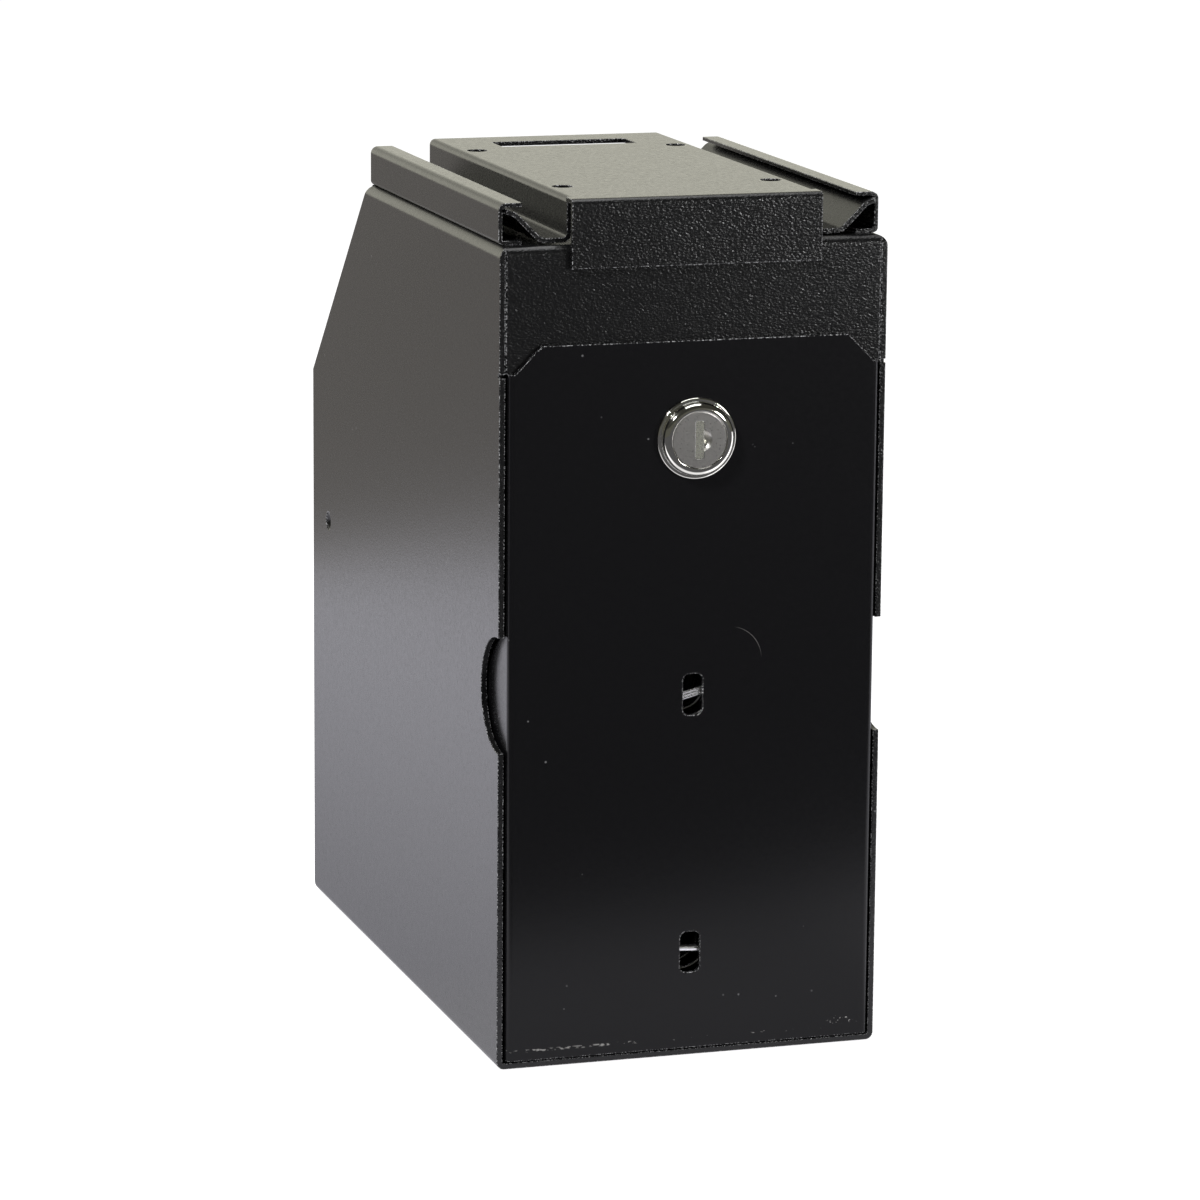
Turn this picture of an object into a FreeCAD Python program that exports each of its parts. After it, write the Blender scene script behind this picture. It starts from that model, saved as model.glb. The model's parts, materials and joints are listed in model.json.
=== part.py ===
import FreeCAD, Part
import math
import os
import re
import Sketcher

# Under-counter cash deposit box with a locking drawer.
# Row frame: X to the right, the lock face towards -Y, Z up, origin at the middle of the base.

doc = FreeCAD.newDocument("CashDrawer")
sheet = doc.addObject("Spreadsheet::Sheet", "Sizes")

SIZES = {
    # folded housing
    "box_width": 103.0,
    "box_depth": 188.0,
    "box_height": 213.0,
    "wall": 1.5,
    "top_bend": 3.0,
    "floor_bend": 2.0,
    "heel_bend": 3.0,
    "inner_bend": 0.5,
    "cover_foot": 5.0,
    "slope_leg": 60.0,
    "strip_height": 32.0,
    "strip_bottom": "=box_height - strip_height",
    "relief_height": 1.0,
    "relief_depth": 1.2,
    "seam_width": 0.25,
    "seam_depth": 0.5,
    "notch_radius": 15.0,
    "notch_height": 98.5,
    "notch_depth": 15.6,
    "cover_flange": 24.0,
    "rivet_inset": 17.0,
    "rivet_height": 112.0,
    "rivet_radius": 2.6,
    "rivet_dish": 1.3,
    "rivet_rim": 0.2,
    "rivet_tail": 1.0,
    "rivet_round": 0.4,
    # note slot in the sloped face, measured down the slope from the top bend
    "slot_width": 86.0,
    "slot_opening": 6.0,
    "slot_down": 30.0,
    "bezel_wall": 0.8,
    "bezel_gap": 0.2,
    "bezel_face": 1.2,
    "bezel_border": 2.5,
    # flap behind the note slot
    "flap_sheet": 1.0,
    "flap_half": 44.0,
    "flap_gap": 1.2,
    "flap_seat": 0.3,
    "flap_length": 16.0,
    "pin_down": 21.0,
    "pin_depth": 4.9,
    "pin_radius": 1.25,
    "pin_play": 0.05,
    "knuckle_wall": 1.0,
    "knuckle_inner": 24.0,
    "ear_sheet": 1.2,
    "ear_outer": 47.0,
    "ear_top": 7.0,
    "ear_web": 10.0,
    "ear_half": 2.5,
    "pin_over": 0.8,
    "flap_wire": 0.35,
    "flap_coil": 1.95,
    "flap_pitch": 0.8,
    "flap_turns": 6.0,
    "flap_leg_tilt": 17.2,
    "flap_leg_gap": 0.05,
    # rails on the top
    "rail_inset": 1.0,
    "rail_height": 10.5,
    "rail_flange": 6.0,
    "rail_sheet": 1.0,
    "rail_bend": 1.9,
    "rail_foot_bend": 1.3,
    "rail_front": 4.7,
    # counter bracket
    "plate_sheet": 1.2,
    "plate_bend": 0.4,
    "plate_half": 33.15,
    "plate_rise": 11.75,
    "plate_overhang": 2.7,
    "lip_gap": 0.5,
    "lip_drop": 17.5,
    "wing_start": 3.0,
    "trough_gap": 0.4,
    "trough_bend": 1.2,
    "wing_tilt": 45.0,
    "wing_bend": 2.8,
    "wing_hook": 2.2,
    "hook_tilt": 20.0,
    "hook_bend": 1.8,
    "wing_tip_gap": 0.4,
    "screw_half_x": 28.0,
    "screw_front": 70.0,
    "screw_back": 8.0,
    "screw_radius": 2.75,
    "catch_half": 19.0,
    "catch_front": 14.5,
    "catch_length": 11.0,
    # drawer
    "drawer_sheet": 1.2,
    "drawer_gap": 0.7,
    "drawer_bend": 1.5,
    "front_gap": 0.3,
    "front_low": 2.3,
    "front_drop": 25.0,
    "front_top": "=box_height - front_drop",
    "side_drop": 41.0,
    "side_top": "=box_height - side_drop",
    "side_round": 4.0,
    "side_step": 3.0,
    "drawer_back": 68.0,
    "back_drop": 63.0,
    "back_top": "=box_height - back_drop",
    "glide_thick": 1.0,
    "glide_play": 0.1,
    "glide_inner": 30.0,
    "glide_width": 10.0,
    "glide_length": 145.0,
    "glide_front": 8.0,
    "window_width": 5.4,
    "window_height": 10.9,
    "window_round": 1.8,
    "upper_window": 96.3,
    "lower_window": 28.0,
    # lock
    "lock_down": 25.0,
    "lock_height": "=front_top - lock_down",
    "lock_thread": 9.3,
    "lock_lip": 1.2,
    "lock_bezel": "=lock_thread + lock_lip",
    "ring_step": 0.2,
    "lock_ring": "=lock_thread + ring_step",
    "ring_round": 1.7,
    "flat_depth": 1.2,
    "lock_flat": "=lock_thread - flat_depth",
    "lock_hole_play": 0.2,
    "lock_head": 3.6,
    "lock_flange": 1.2,
    "lock_body": 16.0,
    "plug_radius": 6.5,
    "plug_head": 7.3,
    "plug_head_length": 2.4,
    "plug_play": 0.05,
    "plug_recess": 0.2,
    "key_width": 2.4,
    "key_height": 9.8,
    "key_depth": 5.0,
    "key_round": 0.6,
    "dish_radius": 3.1,
    "dish_side": 0.2,
    "dish_depth": 1.6,
    "shutter_sink": 0.1,
    "shutter_thick": 1.5,
    "shutter_play": 0.05,
    "square_half": 3.4,
    "square_play": 0.08,
    "nut_half": 12.0,
    "nut_thick": 3.5,
    "lock_washer_thick": 0.8,
    "washer_play": 0.3,
    "washer_over": 1.0,
    "cam_sheet": 2.0,
    "cam_half": 5.5,
    "cam_crank": 14.9,
    "cam_length": 26.0,
    "cam_gap": 0.9,
    "cam_lift": 0.2,
    "cam_bore": 2.5,
    "cam_back": 7.0,
    "cam_end_round": 3.0,
    "cam_tip_round": 2.0,
    "cam_washer_thick": 0.8,
    "screw_head_half": 4.0,
    "screw_head_thick": 3.0,
    "screw_reach": 6.0,
    "bore_reach": 8.0,
    "thread_play": 0.05,
    # follower plate and springs
    "follower_sheet": 1.2,
    "follower_face": 24.0,
    "follower_half": 47.0,
    "follower_flange": 15.0,
    "follower_low": 4.3,
    "follower_drop": 63.0,
    "follower_top": "=box_height - follower_drop",
    "follower_play": 0.5,
    "cup_radius": 9.6,
    "cup_wall": 1.0,
    "cup_depth": 5.0,
    "coil_radius": 7.0,
    "coil_wire": 0.6,
    "coil_turns": 15.0,
    "coil_clear": 0.1,
    "anchor_radius": 1.0,
    "anchor_half": 8.6,
    "anchor_gap": 0.02,
    "strand_radius": 0.36,
    "strand_tilt": 14.0,
    "pin_tilt": 4.0,
    "pin_lift": 0.5,
}
for row, (name, number) in enumerate(SIZES.items(), start=1):
    sheet.set("A%d" % row, name)
    sheet.set("B%d" % row, str(number))
    sheet.setAlias("B%d" % row, name)
doc.recompute()


def formula(text):
    """Turn a size formula into an expression that reads the sheet."""
    return re.sub(r"[a-z][a-z_]*", lambda m: "Sizes." + m[0] if m[0] in SIZES else m[0], str(text))


def number(text):
    """Work out a size formula now, to place geometry where its expressions will hold it."""
    return float(sheet.evalExpression(formula(text)))


def body(label):
    made = doc.addObject("PartDesign::Body", label)
    made.Label = label
    return made


def origin_plane(owner, role):
    return next(item for item in owner.Origin.OriginFeatures if item.Role == role)


# plane role, and the sign of its normal along the axis that it faces
PLANES = {"x": ("YZ_Plane", 1), "y": ("XZ_Plane", -1), "z": ("XY_Plane", 1)}


def outline(sketch, points):
    """Closed outline through (u, v) formulas, each corner held by the sheet."""
    corners = [FreeCAD.Vector(number(p[0]), number(p[1]), 0) for p in points]
    count = len(corners)
    lines = [sketch.addGeometry(Part.LineSegment(corners[k], corners[(k + 1) % count])) for k in range(count)]
    for k in range(count):
        sketch.addConstraint(Sketcher.Constraint("Coincident", lines[k - 1], 2, lines[k], 1))
        across = Sketcher.Constraint("DistanceX", -1, 1, lines[k], 1, corners[k].x)
        sketch.setExpression("Constraints[%d]" % sketch.addConstraint(across), formula(points[k][0]))
        up = Sketcher.Constraint("DistanceY", -1, 1, lines[k], 1, corners[k].y)
        sketch.setExpression("Constraints[%d]" % sketch.addConstraint(up), formula(points[k][1]))


def circle(sketch, u, v, radius):
    """Circle whose centre and radius are held by the sheet."""
    shape = Part.Circle(FreeCAD.Vector(number(u), number(v), 0), FreeCAD.Vector(0, 0, 1), number(radius))
    ring = sketch.addGeometry(shape)
    held = sketch.addConstraint(Sketcher.Constraint("Radius", ring, number(radius)))
    sketch.setExpression("Constraints[%d]" % held, formula(radius))
    across = Sketcher.Constraint("DistanceX", -1, 1, ring, 3, number(u))
    sketch.setExpression("Constraints[%d]" % sketch.addConstraint(across), formula(u))
    up = Sketcher.Constraint("DistanceY", -1, 1, ring, 3, number(v))
    sketch.setExpression("Constraints[%d]" % sketch.addConstraint(up), formula(v))


def prism(owner, axis, low, high, loops, cut=False):
    """Pad (or pocket) between two stations of an axis; a loop is a list of points or a circle tuple."""
    role, sign = PLANES[axis]
    sketch = owner.newObject("Sketcher::SketchObject", owner.Label + "_sketch")
    sketch.AttachmentSupport = (origin_plane(owner, role), [""])
    sketch.MapMode = "FlatFace"
    for loop in loops:
        if isinstance(loop, tuple):
            circle(sketch, *loop)
        else:
            outline(sketch, loop)
    # a pad grows along the plane's normal and a pocket against it
    start = low if (sign > 0) != cut else high
    sketch.setExpression("AttachmentOffset.Base.z", formula("%d * (%s)" % (sign, start)))
    kind = "PartDesign::Pocket" if cut else "PartDesign::Pad"
    before = owner.Shape.Volume if owner.Tip else 0.0
    made = owner.newObject(kind, owner.Label + ("_cut" if cut else "_pad"))
    made.Profile = sketch
    made.setExpression("Length", formula("(%s) - (%s)" % (high, low)))
    sketch.Visibility = False
    doc.recompute()
    if "Invalid" in made.State or made.Shape.isNull():
        raise RuntimeError("no solid from %s: sketch %s, solve %d" % (made.Name, sketch.State, sketch.solve()))
    if cut and made.Shape.Volume >= before - 1e-6:
        raise RuntimeError("a pocket removes nothing: " + made.Name)
    # a corner with a third value is a bend or a rounded corner of that radius
    bends = {}
    for loop in loops:
        for point in loop:
            if isinstance(loop, list) and len(point) > 2:
                bends.setdefault(point[2], []).append(point[:2])
    for radius, spots in bends.items():
        rounded(owner, radius, axis, spots)
    return made


def turned(label, points):
    """Body turned about its own Y axis from (station, radius) or (station, radius, rounding) points."""
    owner = body(label)
    sketch = owner.newObject("Sketcher::SketchObject", label + "_sketch")
    sketch.AttachmentSupport = (origin_plane(owner, "YZ_Plane"), [""])
    sketch.MapMode = "FlatFace"
    outline(sketch, points)
    made = owner.newObject("PartDesign::Revolution", label + "_turn")
    made.Profile = sketch
    made.ReferenceAxis = (sketch, ["H_Axis"])
    made.Angle = 360
    sketch.Visibility = False
    doc.recompute()
    for point in points:
        if len(point) < 3:
            continue
        names = []
        for index, edge in enumerate(owner.Tip.Shape.Edges, start=1):
            if not hasattr(edge.Curve, "Radius") or not hasattr(edge.Curve, "Center"):
                continue
            if abs(edge.Curve.Radius - number(point[1])) < 1e-4 and \
                    abs(edge.Curve.Center.y - number(point[0])) < 1e-4:
                names.append("Edge%d" % index)
        before = owner.Tip
        round_off = owner.newObject("PartDesign::Fillet", label + "_round")
        round_off.Base = (before, names)
        round_off.setExpression("Radius", formula(point[2]))
        doc.recompute()
    return owner


def place(item, x="0", y="0", z="0", axis=(1, 0, 0), angle=0):
    """Set where a piece stands; its position is held by the sheet."""
    item.Placement = FreeCAD.Placement(FreeCAD.Vector(0, 0, 0), FreeCAD.Rotation(FreeCAD.Vector(*axis), angle))
    for letter, text in zip("xyz", (x, y, z)):
        item.setExpression("Placement.Base." + letter, formula(text))


def block(owner, x, y, z, cut=True):
    """Box between pairs of stations, added to or cut from a body."""
    kind = "PartDesign::SubtractiveBox" if cut else "PartDesign::AdditiveBox"
    made = owner.newObject(kind, owner.Label + "_block")
    for prop, pair in zip(("Length", "Width", "Height"), (x, y, z)):
        made.setExpression(prop, formula("(%s) - (%s)" % (pair[1], pair[0])))
    for letter, pair in zip("xyz", (x, y, z)):
        made.setExpression("Placement.Base." + letter, formula(pair[0]))
    doc.recompute()
    return made


def rounded(owner, radius, axis, spots):
    """Round the straight edges that run along an axis through the given pairs of stations."""
    others = [k for k in range(3) if k != "xyz".index(axis)]
    wanted = [(number(a), number(b)) for a, b in spots]
    names = []
    for index, edge in enumerate(owner.Tip.Shape.Edges, start=1):
        ends = [vertex.Point for vertex in edge.Vertexes]
        if len(ends) != 2:
            continue
        for a, b in wanted:
            if all(abs(p[others[0]] - a) < 1e-4 and abs(p[others[1]] - b) < 1e-4 for p in ends):
                names.append("Edge%d" % index)
    if not names:
        raise RuntimeError("no edge to round on " + owner.Label)
    before = owner.Tip
    made = owner.newObject("PartDesign::Fillet", owner.Label + "_round")
    made.Base = (before, names)
    made.setExpression("Radius", formula(radius))
    doc.recompute()
    return made


def coil(label, pitch, height, radius, wire, position, axis, angle, turn=0):
    """Wire wound on a helix; the helix and its round section are placed together."""
    frame = FreeCAD.Rotation(FreeCAD.Vector(*axis), angle)
    spin = FreeCAD.Rotation(FreeCAD.Vector(0, 0, 1), turn)
    path = doc.addObject("Part::Helix", label + "_path")
    path.setExpression("Pitch", formula(pitch))
    path.setExpression("Height", formula(height))
    path.setExpression("Radius", formula(radius))
    section = doc.addObject("Part::Circle", label + "_section")
    section.setExpression("Radius", formula(wire))
    where = FreeCAD.Vector(*[number(text) for text in position])
    path.Placement = FreeCAD.Placement(where, frame.multiply(spin))
    offset = FreeCAD.Placement(FreeCAD.Vector(number(radius), 0, 0),
                               FreeCAD.Rotation(FreeCAD.Vector(1, 0, 0), 90))
    section.Placement = path.Placement.multiply(offset)
    sweep = doc.addObject("Part::Sweep", label)
    sweep.Sections = [section]
    sweep.Spine = (path, ["Edge1"])
    sweep.Solid = True
    sweep.Frenet = True
    doc.recompute()
    return sweep


def rod(label, radius, length, position, axis, angle):
    """Round bar along the local Z of a turned frame, placed by its end."""
    made = doc.addObject("Part::Cylinder", label)
    made.setExpression("Radius", formula(radius))
    made.setExpression("Height", formula(length))
    place(made, *position, axis=axis, angle=angle)
    doc.recompute()
    return made


def joined(label, pieces):
    made = doc.addObject("Part::MultiFuse", label)
    made.Shapes = pieces
    doc.recompute()
    return made


def together(label, pieces):
    made = doc.addObject("Part::Compound", label)
    made.Links = pieces
    doc.recompute()
    return made


nodes = {}


def node(name, item):
    item.Label = name
    nodes[name] = item
    return item


HALF = "box_width/2"
INNER = "(box_width/2 - wall)"
FRONT = "(-box_depth/2)"
BACK = "(box_depth/2)"
SLOPE_TOP = "(box_depth/2 - slope_leg)"
SLOPE_LOW = "(box_height - slope_leg)"
# vertical thickness of the sloped sheet
SLANT = "(wall*sqrt(2))"

# ---- housing: floor, sides, top and front strip folded from one sheet ----
tube = body("housing_tube")
outer = [("-" + HALF, "0", "floor_bend"), (HALF, "0", "floor_bend"),
         (HALF, "box_height", "top_bend"), ("-" + HALF, "box_height", "top_bend")]
hollow = [("-" + INNER, "wall"), (INNER, "wall"), (INNER, "box_height - wall"),
          ("-" + INNER, "box_height - wall")]
prism(tube, "y", FRONT, BACK, [outer])
prism(tube, "y", FRONT + " + wall", BACK + " + 1", [hollow], cut=True)
# the top's front strip is left standing over the mouth
mouth = [("-" + INNER, "wall"), (INNER, "wall"), (INNER, "strip_bottom"), ("-" + INNER, "strip_bottom")]
prism(tube, "y", FRONT + " - 1", FRONT + " + 2*wall", [mouth], cut=True)
rounded(tube, "inner_bend", "y", [("-" + INNER, "wall"), (INNER, "wall")])
rounded(tube, "top_bend - wall", "y", [("-" + INNER, "box_height - wall"), (INNER, "box_height - wall")])
# the floor stops where the cover's heel begins
block(tube, ("-" + INNER, INNER), (BACK + " - cover_foot", BACK + " + 1"), ("-1", "wall + 0.001"))
# the top stops where the cover's slope begins
block(tube, ("-" + INNER, INNER), (SLOPE_TOP, BACK + " + 1"),
      ("box_height - 2*top_bend", "box_height + 1"))
for side in (-1, 1):
    walls = ("-box_width/2 - 1", "-" + INNER) if side < 0 else (INNER, "box_width/2 + 1")
    block(tube, walls, (FRONT + " - 1", FRONT + " + relief_depth"),
          ("strip_bottom - relief_height", "strip_bottom"))
    # the strip is folded down between the walls, which leaves a fine seam at each end
    seam = ("-" + INNER, "seam_width - " + INNER) if side < 0 else (INNER + " - seam_width", INNER)
    block(tube, seam, (FRONT + " - 1", FRONT + " + seam_depth"), ("strip_bottom - 1", "box_height + 1"))
profile = body("housing_profile")
prism(profile, "x", "-" + HALF + " - 1", HALF + " + 1", [[
    (FRONT, "0"), (BACK, "0", "heel_bend"), (BACK, SLOPE_LOW),
    (SLOPE_TOP, "box_height"), (FRONT, "box_height", "wall*1.5")]])
folded = doc.addObject("Part::MultiCommon", "housing_folded")
folded.Shapes = [tube, profile]
notch = doc.addObject("Part::Cylinder", "finger_notch")
notch.setExpression("Radius", "Sizes.notch_radius")
notch.setExpression("Height", formula("box_width + 4"))
place(notch, "-box_width/2 - 2", FRONT + " + notch_depth - notch_radius", "notch_height", (0, 1, 0), 90)
pierce = doc.addObject("Part::Cylinder", "rivet_holes")
pierce.setExpression("Radius", "Sizes.rivet_radius")
pierce.setExpression("Height", formula("box_width + 4"))
place(pierce, "-box_width/2 - 2", BACK + " - rivet_inset", "rivet_height", (0, 1, 0), 90)
tools = joined("housing_tools", [notch, pierce])
housing = doc.addObject("Part::Cut", "housing_wrap")
housing.Base = folded
housing.Tool = tools
doc.recompute()
node("housing_wrap", housing)

# ---- back cover: heel, back and slope in one sheet, with flanges inside the walls ----
cover = body("back_cover")
prism(cover, "x", "-" + INNER, INNER, [[
    (BACK + " - cover_foot", "0"), (BACK, "0", "heel_bend"), (BACK, SLOPE_LOW, "wall*1.5"),
    (SLOPE_TOP, "box_height"), (SLOPE_TOP, "box_height - " + SLANT),
    (BACK + " - wall", SLOPE_LOW + " + wall - " + SLANT, "wall*0.5"),
    (BACK + " - wall", "wall", "heel_bend - wall"), (BACK + " - cover_foot", "wall")]])
for low, high in (("-" + INNER, "wall - " + INNER), (INNER + " - wall", INNER)):
    prism(cover, "x", low, high, [[
        (BACK + " - cover_flange", "wall*3", "wall*2"), (BACK + " - wall/2", "wall*3"),
        (BACK + " - wall/2", SLOPE_LOW + " + wall/2 - " + SLANT + "*0.5"),
        (BACK + " - cover_flange", SLOPE_LOW + " + cover_flange - " + SLANT + "*0.5")]])
prism(cover, "x", "-" + HALF, HALF, [(BACK + " - rivet_inset", "rivet_height", "rivet_radius")], cut=True)
opening = cover.newObject("PartDesign::SubtractiveBox", "note_opening")
opening.setExpression("Length", formula("slot_width + 2*bezel_wall + 2*bezel_gap"))
opening.setExpression("Width", formula("slot_opening + 2*bezel_wall + 2*bezel_gap"))
opening.setExpression("Height", formula("wall*6"))


def on_slope(item, x, down, out, spin=0):
    """Place a piece in the slope's own frame: X across, Y down the slope, Z out of it."""
    turn = FreeCAD.Rotation(FreeCAD.Vector(1, 0, 0), -45)
    item.Placement = FreeCAD.Placement(FreeCAD.Vector(0, 0, 0), turn)
    item.setExpression("Placement.Base.x", formula(x))
    item.setExpression("Placement.Base.y", formula("%s + ((%s) + (%s))/sqrt(2)" % (SLOPE_TOP, down, out)))
    item.setExpression("Placement.Base.z", formula("box_height + ((%s) - (%s))/sqrt(2)" % (out, down)))


on_slope(opening, "-slot_width/2 - bezel_wall - bezel_gap",
         "slot_down - slot_opening/2 - bezel_wall - bezel_gap", "-wall*3")
doc.recompute()
node("back_cover", cover)

# ---- rivets that hold the cover's flanges to the side walls ----
rivets = []
for side in (-1, 1):
    rivet = turned("rivet_%s" % ("left" if side < 0 else "right"), [
        ("rivet_dish", "0"), ("rivet_dish", "rivet_radius*0.4"), ("rivet_rim", "rivet_radius - rivet_rim"),
        ("rivet_rim", "rivet_radius"), ("2*wall", "rivet_radius"), ("2*wall", "rivet_radius*1.7"),
        ("2*wall + rivet_tail", "rivet_radius*1.7 - rivet_round"), ("2*wall + rivet_tail", "0")])
    # the local Y axis points into the box
    place(rivet, "%d * box_width/2" % side, BACK + " - rivet_inset", "rivet_height",
          (0, 0, 1), 90 * side)
    rivets.append(rivet)
node("cover_rivets", together("cover_rivets", rivets))

# ---- rails that hang the box from the bracket ----
RAIL_OUT = "(box_width/2 - rail_inset)"
for side in (-1, 1):
    name = "left_rail" if side < 0 else "right_rail"
    rail = body(name)
    at = "%d * " % side
    foot = at + "(" + RAIL_OUT + " - rail_flange)"
    web = at + "(" + RAIL_OUT + " - rail_sheet)"
    prism(rail, "y", FRONT + " + rail_front", SLOPE_TOP, [[
        (at + RAIL_OUT, "box_height", "rail_foot_bend"),
        (at + RAIL_OUT, "box_height + rail_height", "rail_bend"),
        (foot, "box_height + rail_height"), (foot, "box_height + rail_height - rail_sheet"),
        (web, "box_height + rail_height - rail_sheet", "rail_bend - rail_sheet"),
        (web, "box_height + rail_sheet", "rail_foot_bend - rail_sheet"),
        (foot, "box_height + rail_sheet"), (foot, "box_height")]])
    node(name, rail)

# ---- counter bracket: hat-shaped sheet whose wings run inside the rails ----
TOP = "(box_height + plate_rise)"
TROUGH = "(box_height + trough_gap)"
# the wing's underside: its tip beside the rail's web, its knee, and its foot on the trough
END_X = "(%s - rail_sheet - wing_tip_gap)" % RAIL_OUT
END_Z = "(box_height + rail_height - rail_sheet - wing_tip_gap - plate_sheet*cos(hook_tilt))"
KNEE_X = "(%s - wing_hook*cos(hook_tilt))" % END_X
KNEE_Z = "(%s - wing_hook*sin(hook_tilt))" % END_Z
FOOT_X = "(%s - (%s - %s)/tan(wing_tilt))" % (KNEE_X, KNEE_Z, TROUGH)
MEAN = "((wing_tilt + hook_tilt)/2)"
MITRE = "(plate_sheet/cos((wing_tilt - hook_tilt)/2))"
bracket = body("counter_bracket")


def hat_side(at):
    """One side of the hat, from the plate's top edge round to its underside."""
    wall_in = at + "(plate_half - plate_sheet)"
    return [
        (at + "plate_half", TOP, "plate_bend + plate_sheet"),
        (at + "plate_half", TROUGH + " + plate_sheet", "trough_bend"),
        (at + "(%s - plate_sheet*tan(wing_tilt/2))" % FOOT_X, TROUGH + " + plate_sheet", "wing_bend"),
        (at + "(%s - %s*sin(%s))" % (KNEE_X, MITRE, MEAN), "%s + %s*cos(%s)" % (KNEE_Z, MITRE, MEAN),
         "hook_bend + plate_sheet"),
        (at + "(%s - plate_sheet*sin(hook_tilt))" % END_X, END_Z + " + plate_sheet*cos(hook_tilt)"),
        (at + END_X, END_Z),
        (at + KNEE_X, KNEE_Z, "hook_bend"),
        (at + FOOT_X, TROUGH, "wing_bend + plate_sheet"),
        (wall_in, TROUGH, "trough_bend + plate_sheet"),
        (wall_in, TOP + " - plate_sheet", "plate_bend")]


right = hat_side("1 * ")
left = hat_side("-1 * ")
prism(bracket, "y", FRONT + " + wing_start", SLOPE_TOP + " + plate_overhang",
      [right + list(reversed(left))])
prism(bracket, "x", "-plate_half", "plate_half", [[
    (FRONT + " - lip_gap - plate_sheet", TOP, "plate_bend + plate_sheet"),
    (FRONT + " - lip_gap - plate_sheet", TOP + " - lip_drop"),
    (FRONT + " - lip_gap", TOP + " - lip_drop"),
    (FRONT + " - lip_gap", TOP + " - plate_sheet", "plate_bend"),
    (FRONT + " + wing_start + 1", TOP + " - plate_sheet"),
    (FRONT + " + wing_start + 1", TOP)]])
prism(bracket, "z", TOP + " - 2*plate_sheet", TOP + " + 1",
      [(x, y, "screw_radius") for x in ("-screw_half_x", "screw_half_x")
       for y in ("-screw_front", "screw_back")], cut=True)
prism(bracket, "z", TOP + " - 2*plate_sheet", TOP + " + 1", [[
    ("-catch_half", "catch_front", "0.8"), ("catch_half", "catch_front", "0.8"),
    ("catch_half", "catch_front + catch_length", "0.8"),
    ("-catch_half", "catch_front + catch_length", "0.8")]], cut=True)
node("counter_bracket", bracket)

# ---- drawer: front and sides folded from one sheet ----
FACE = "(-box_depth/2 - front_gap - drawer_sheet)"
REAR = "(-box_depth/2 - front_gap)"
SIDE = "(box_width/2 - wall - drawer_gap)"
SIDE_IN = "(box_width/2 - wall - drawer_gap - drawer_sheet)"
wrap = body("drawer_wrap")
prism(wrap, "z", "front_low", "strip_bottom", [[
    ("-" + SIDE, FACE, "drawer_bend"), (SIDE, FACE, "drawer_bend"), (SIDE, "drawer_back"),
    (SIDE_IN, "drawer_back"), (SIDE_IN, REAR, "drawer_bend - drawer_sheet"),
    ("-" + SIDE_IN, REAR, "drawer_bend - drawer_sheet"), ("-" + SIDE_IN, "drawer_back"),
    ("-" + SIDE, "drawer_back")]])
prism(wrap, "y", FACE, REAR, [[
    ("-" + SIDE + " + drawer_bend", "strip_bottom - 5"), (SIDE + " - drawer_bend", "strip_bottom - 5"),
    (SIDE + " - drawer_bend", "strip_bottom"),
    (SIDE + " - drawer_bend + strip_bottom - front_top", "front_top"),
    ("-" + SIDE + " + drawer_bend - strip_bottom + front_top", "front_top"),
    ("-" + SIDE + " + drawer_bend", "strip_bottom")]])
block(wrap, ("-box_width", "box_width"), (REAR + " + side_step", "drawer_back + 1"),
      ("side_top", "strip_bottom + 1"))
for height in ("upper_window", "lower_window"):
    prism(wrap, "y", FACE + " - 1", REAR + " + 1", [[
        ("-window_width/2", height + " - window_height/2", "window_round"),
        ("window_width/2", height + " - window_height/2", "window_round"),
        ("window_width/2", height + " + window_height/2", "window_round"),
        ("-window_width/2", height + " + window_height/2", "window_round")]], cut=True)
flat_hole = "(lock_flat + lock_hole_play)"
round_hole = "(lock_thread + lock_hole_play)"
prism(wrap, "y", FACE + " - 1", REAR + " + 1", [("0", "lock_height", round_hole)], cut=True)
for low, high in (("-" + round_hole + " - 1", "-" + flat_hole), (flat_hole, round_hole + " + 1")):
    block(wrap, (low, high), (FACE, REAR), ("lock_height - lock_thread", "lock_height + lock_thread"), cut=False)
rounded(wrap, "side_round", "x", [("drawer_back", "side_top")])
node("drawer_wrap", wrap)

# ---- drawer tray: floor and back folded from one sheet ----
TRAY_LOW = "(wall + glide_thick + glide_play)"
tray = body("drawer_tray")
prism(tray, "x", "-" + SIDE_IN, SIDE_IN, [[
    (REAR, TRAY_LOW), ("drawer_back", TRAY_LOW, "drawer_bend"), ("drawer_back", "back_top"),
    ("drawer_back - drawer_sheet", "back_top"),
    ("drawer_back - drawer_sheet", TRAY_LOW + " + drawer_sheet", "drawer_bend - drawer_sheet"),
    (REAR, TRAY_LOW + " + drawer_sheet")]])
node("drawer_tray", tray)

# ---- glide strips on the housing floor ----
for side in (-1, 1):
    name = "left_glide" if side < 0 else "right_glide"
    glide = body(name)
    xs = ("glide_inner", "glide_inner + glide_width")
    if side < 0:
        xs = ("-glide_inner - glide_width", "-glide_inner")
    block(glide, xs, (FRONT + " + glide_front", FRONT + " + glide_front + glide_length"),
          ("wall", "wall + glide_thick"), cut=False)
    node(name, glide)

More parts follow.
